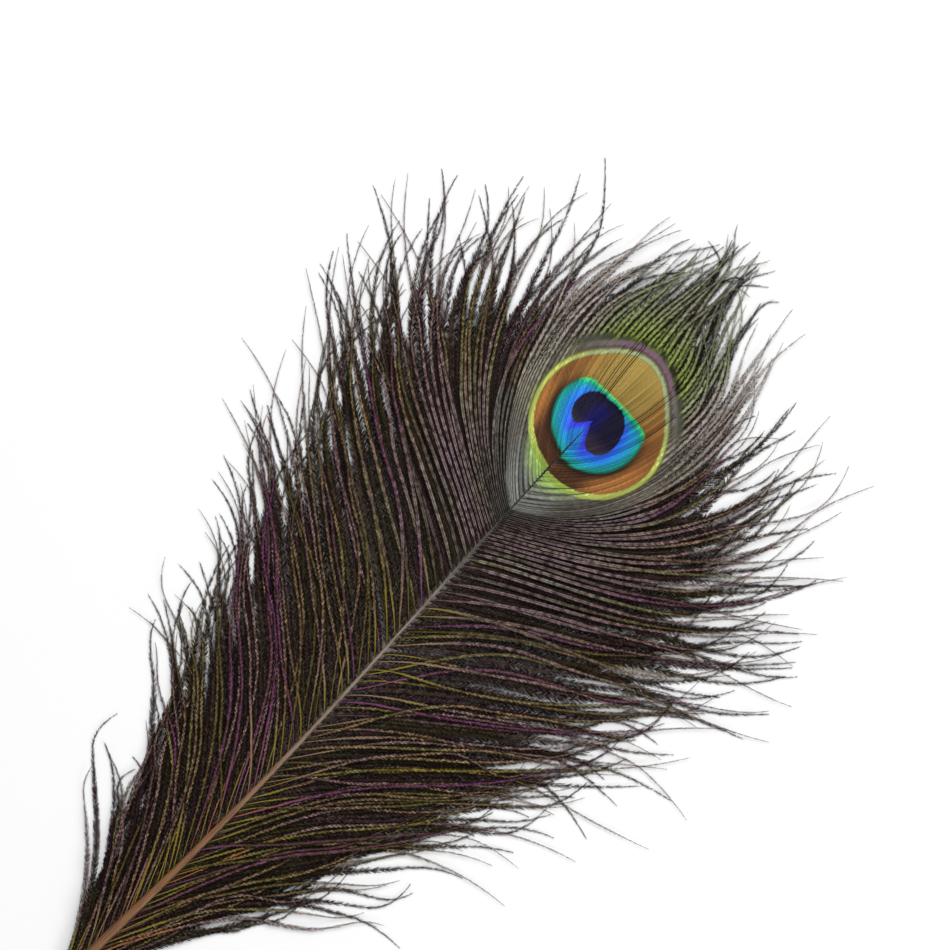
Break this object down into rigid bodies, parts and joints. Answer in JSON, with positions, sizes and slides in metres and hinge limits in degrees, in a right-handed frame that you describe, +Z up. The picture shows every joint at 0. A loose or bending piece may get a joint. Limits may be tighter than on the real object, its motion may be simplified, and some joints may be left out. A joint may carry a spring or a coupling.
{
  "type": "peacock feather",
  "caption": "Peacock train feather lying face up: tapering shaft, two vanes of long loose barbs and a round coloured eye near the tip.",
  "frame": {"origin": "middle of the lying feather's footprint, on the surface that it rests on", "axes": "+Y along the shaft from the quill to the tip, +X to the right of it seen from above, +Z up from the surface, face up"},
  "size_m": [0.17, 0.3, 0.0072],
  "materials": {
    "horn": "satin",
    "barbs": "satin"
  },
  "bodies": {
    "root": {"shaft": "horn", "left_vane": "barbs", "right_vane": "barbs"}
  },
  "joints": []
}
